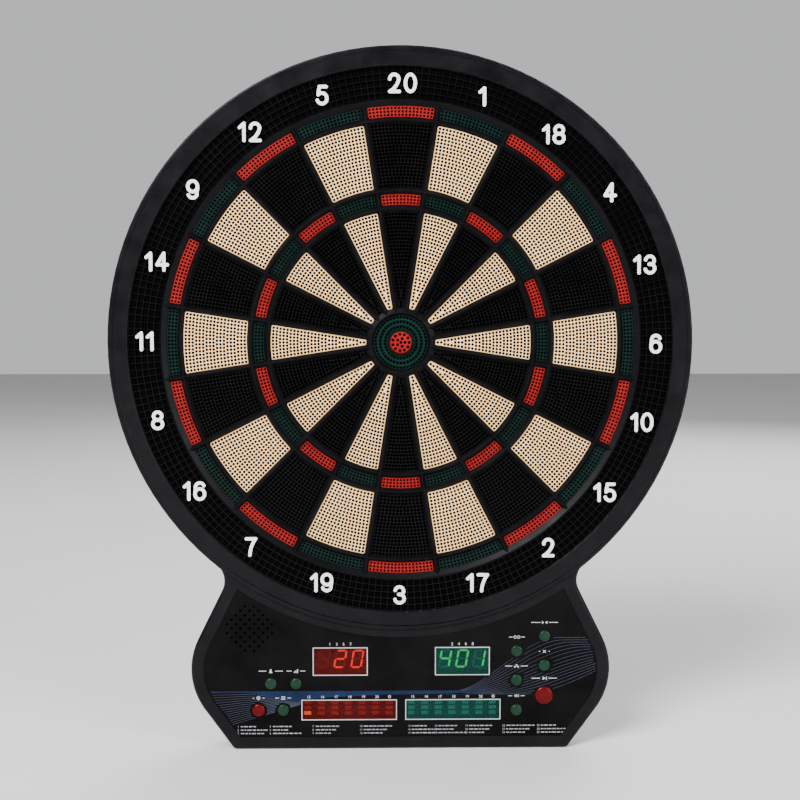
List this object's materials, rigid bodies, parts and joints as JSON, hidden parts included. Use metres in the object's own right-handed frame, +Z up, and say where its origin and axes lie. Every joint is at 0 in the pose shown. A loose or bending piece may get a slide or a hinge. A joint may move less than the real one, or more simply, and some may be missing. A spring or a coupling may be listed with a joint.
{
  "type": "electronic dartboard",
  "caption": "Electronic dartboard that hangs on a wall: a round soft-tip target over a console with score windows, push buttons and a speaker.",
  "frame": {"origin": "on the wall plane, straight behind the bull", "axes": "+Z up along the wall, +X to the player's right, -Y out of the wall towards the player"},
  "size_m": [0.429, 0.03, 0.5193],
  "materials": {
    "case_black": "fine satin grain",
    "cover_black": "moulded matt grain",
    "screw_steel": "zinc-plated",
    "spider_black": "satin",
    "ring_black": "satin",
    "numeral_white": "printed",
    "target_black": "satin, moulded with fine holes",
    "target_cream": "satin, moulded with fine holes",
    "target_red": "satin, moulded with fine holes",
    "target_green": "satin, moulded with fine holes",
    "foam_black": "closed-cell sheet",
    "film": "clear film with a grey print",
    "backing_grey": "sheet",
    "fascia_black": "glossy printed panel",
    "window_red": "tinted glossy window",
    "window_green": "tinted glossy window",
    "display_black": "matt",
    "button_green": "glossy dome",
    "button_red": "glossy dome",
    "board_green": "solder mask",
    "silicone": "translucent grey",
    "speaker_metal": "plated basket, paper cone",
    "cell_wrap": "plain wrapped cell",
    "jack_black": "moulded",
    "wire_red": "insulation"
  },
  "bodies": {
    "case": {"front_housing": "case_black", "rear_cover": "cover_black", "case_screws": "screw_steel", "inner_screws": "screw_steel", "spider": "spider_black", "catch_ring": "ring_black", "numerals": "numeral_white", "damper_mat": "foam_black", "matrix_upper_film": "film", "matrix_spacer_film": "film", "matrix_lower_film": "film", "matrix_backing": "backing_grey", "matrix_tails": "film", "fascia_panel": "fascia_black", "score_window_red": "window_red", "score_window_green": "window_green", "marks_window_red": "window_red", "marks_window_green": "window_green", "score_displays": "display_black", "marks_displays": "display_black", "main_board": "board_green", "dome_mat": "silicone", "speaker": "speaker_metal", "battery_cells": "cell_wrap", "battery_contacts": "screw_steel", "dc_jack": "jack_black", "wire_leads": "wire_red"},
    "door": {"battery_door": "cover_black"},
    "wedge_20": {"segments_20": "target_black"},
    "wedge_1": {"segments_1": "target_cream"},
    "wedge_18": {"segments_18": "target_black"},
    "wedge_4": {"segments_4": "target_cream"},
    "wedge_13": {"segments_13": "target_black"},
    "wedge_6": {"segments_6": "target_cream"},
    "wedge_10": {"segments_10": "target_black"},
    "wedge_15": {"segments_15": "target_cream"},
    "wedge_2": {"segments_2": "target_black"},
    "wedge_17": {"segments_17": "target_cream"},
    "wedge_3": {"segments_3": "target_black"},
    "wedge_19": {"segments_19": "target_cream"},
    "wedge_7": {"segments_7": "target_black"},
    "wedge_16": {"segments_16": "target_cream"},
    "wedge_8": {"segments_8": "target_black"},
    "wedge_11": {"segments_11": "target_cream"},
    "wedge_14": {"segments_14": "target_black"},
    "wedge_9": {"segments_9": "target_cream"},
    "wedge_12": {"segments_12": "target_black"},
    "wedge_5": {"segments_5": "target_cream"},
    "outer_bull": {"bull_outer": "target_green"},
    "inner_bull": {"bull_inner": "target_red"},
    "score_button_key": {"score_button": "button_green"},
    "handicap_button_key": {"handicap_button": "button_green"},
    "game_button_key": {"game_button": "button_red"},
    "option_button_key": {"option_button": "button_green"},
    "match_button_key": {"match_button": "button_green"},
    "double_button_key": {"double_button": "button_green"},
    "miss_button_key": {"miss_button": "button_green"},
    "team_button_key": {"team_button": "button_green"},
    "start_button_key": {"start_button": "button_red"},
    "sound_button_key": {"sound_button": "button_green"}
  },
  "joints": [
    {"name": "wedge_20_press", "type": "slide", "parent": "case", "child": "wedge_20", "axis": [0, 1, 0], "range_m": [0, 0.001], "stiffness_N_per_m": 2000},
    {"name": "wedge_1_press", "type": "slide", "parent": "case", "child": "wedge_1", "axis": [0, 1, 0], "range_m": [0, 0.001], "stiffness_N_per_m": 2000},
    {"name": "wedge_18_press", "type": "slide", "parent": "case", "child": "wedge_18", "axis": [0, 1, 0], "range_m": [0, 0.001], "stiffness_N_per_m": 2000},
    {"name": "wedge_4_press", "type": "slide", "parent": "case", "child": "wedge_4", "axis": [0, 1, 0], "range_m": [0, 0.001], "stiffness_N_per_m": 2000},
    {"name": "wedge_13_press", "type": "slide", "parent": "case", "child": "wedge_13", "axis": [0, 1, 0], "range_m": [0, 0.001], "stiffness_N_per_m": 2000},
    {"name": "wedge_6_press", "type": "slide", "parent": "case", "child": "wedge_6", "axis": [0, 1, 0], "range_m": [0, 0.001], "stiffness_N_per_m": 2000},
    {"name": "wedge_10_press", "type": "slide", "parent": "case", "child": "wedge_10", "axis": [0, 1, 0], "range_m": [0, 0.001], "stiffness_N_per_m": 2000},
    {"name": "wedge_15_press", "type": "slide", "parent": "case", "child": "wedge_15", "axis": [0, 1, 0], "range_m": [0, 0.001], "stiffness_N_per_m": 2000},
    {"name": "wedge_2_press", "type": "slide", "parent": "case", "child": "wedge_2", "axis": [0, 1, 0], "range_m": [0, 0.001], "stiffness_N_per_m": 2000},
    {"name": "wedge_17_press", "type": "slide", "parent": "case", "child": "wedge_17", "axis": [0, 1, 0], "range_m": [0, 0.001], "stiffness_N_per_m": 2000},
    {"name": "wedge_3_press", "type": "slide", "parent": "case", "child": "wedge_3", "axis": [0, 1, 0], "range_m": [0, 0.001], "stiffness_N_per_m": 2000},
    {"name": "wedge_19_press", "type": "slide", "parent": "case", "child": "wedge_19", "axis": [0, 1, 0], "range_m": [0, 0.001], "stiffness_N_per_m": 2000},
    {"name": "wedge_7_press", "type": "slide", "parent": "case", "child": "wedge_7", "axis": [0, 1, 0], "range_m": [0, 0.001], "stiffness_N_per_m": 2000},
    {"name": "wedge_16_press", "type": "slide", "parent": "case", "child": "wedge_16", "axis": [0, 1, 0], "range_m": [0, 0.001], "stiffness_N_per_m": 2000},
    {"name": "wedge_8_press", "type": "slide", "parent": "case", "child": "wedge_8", "axis": [0, 1, 0], "range_m": [0, 0.001], "stiffness_N_per_m": 2000},
    {"name": "wedge_11_press", "type": "slide", "parent": "case", "child": "wedge_11", "axis": [0, 1, 0], "range_m": [0, 0.001], "stiffness_N_per_m": 2000},
    {"name": "wedge_14_press", "type": "slide", "parent": "case", "child": "wedge_14", "axis": [0, 1, 0], "range_m": [0, 0.001], "stiffness_N_per_m": 2000},
    {"name": "wedge_9_press", "type": "slide", "parent": "case", "child": "wedge_9", "axis": [0, 1, 0], "range_m": [0, 0.001], "stiffness_N_per_m": 2000},
    {"name": "wedge_12_press", "type": "slide", "parent": "case", "child": "wedge_12", "axis": [0, 1, 0], "range_m": [0, 0.001], "stiffness_N_per_m": 2000},
    {"name": "wedge_5_press", "type": "slide", "parent": "case", "child": "wedge_5", "axis": [0, 1, 0], "range_m": [0, 0.001], "stiffness_N_per_m": 2000},
    {"name": "outer_bull_press", "type": "slide", "parent": "case", "child": "outer_bull", "axis": [0, 1, 0], "range_m": [0, 0.001], "stiffness_N_per_m": 1500},
    {"name": "inner_bull_press", "type": "slide", "parent": "case", "child": "inner_bull", "axis": [0, 1, 0], "range_m": [0, 0.001], "stiffness_N_per_m": 1500},
    {"name": "score_button_press", "type": "slide", "parent": "case", "child": "score_button_key", "axis": [0, 1, 0], "range_m": [0, 0.001], "stiffness_N_per_m": 800},
    {"name": "handicap_button_press", "type": "slide", "parent": "case", "child": "handicap_button_key", "axis": [0, 1, 0], "range_m": [0, 0.001], "stiffness_N_per_m": 800},
    {"name": "game_button_press", "type": "slide", "parent": "case", "child": "game_button_key", "axis": [0, 1, 0], "range_m": [0, 0.001], "stiffness_N_per_m": 800},
    {"name": "option_button_press", "type": "slide", "parent": "case", "child": "option_button_key", "axis": [0, 1, 0], "range_m": [0, 0.001], "stiffness_N_per_m": 800},
    {"name": "match_button_press", "type": "slide", "parent": "case", "child": "match_button_key", "axis": [0, 1, 0], "range_m": [0, 0.001], "stiffness_N_per_m": 800},
    {"name": "double_button_press", "type": "slide", "parent": "case", "child": "double_button_key", "axis": [0, 1, 0], "range_m": [0, 0.001], "stiffness_N_per_m": 800},
    {"name": "miss_button_press", "type": "slide", "parent": "case", "child": "miss_button_key", "axis": [0, 1, 0], "range_m": [0, 0.001], "stiffness_N_per_m": 800},
    {"name": "team_button_press", "type": "slide", "parent": "case", "child": "team_button_key", "axis": [0, 1, 0], "range_m": [0, 0.001], "stiffness_N_per_m": 800},
    {"name": "start_button_press", "type": "slide", "parent": "case", "child": "start_button_key", "axis": [0, 1, 0], "range_m": [0, 0.001], "stiffness_N_per_m": 800},
    {"name": "sound_button_press", "type": "slide", "parent": "case", "child": "sound_button_key", "axis": [0, 1, 0], "range_m": [0, 0.001], "stiffness_N_per_m": 800},
    {"name": "door_slide", "type": "slide", "parent": "case", "child": "door", "axis": [0, 0, -1], "range_m": [0, 0.008]}
  ]
}
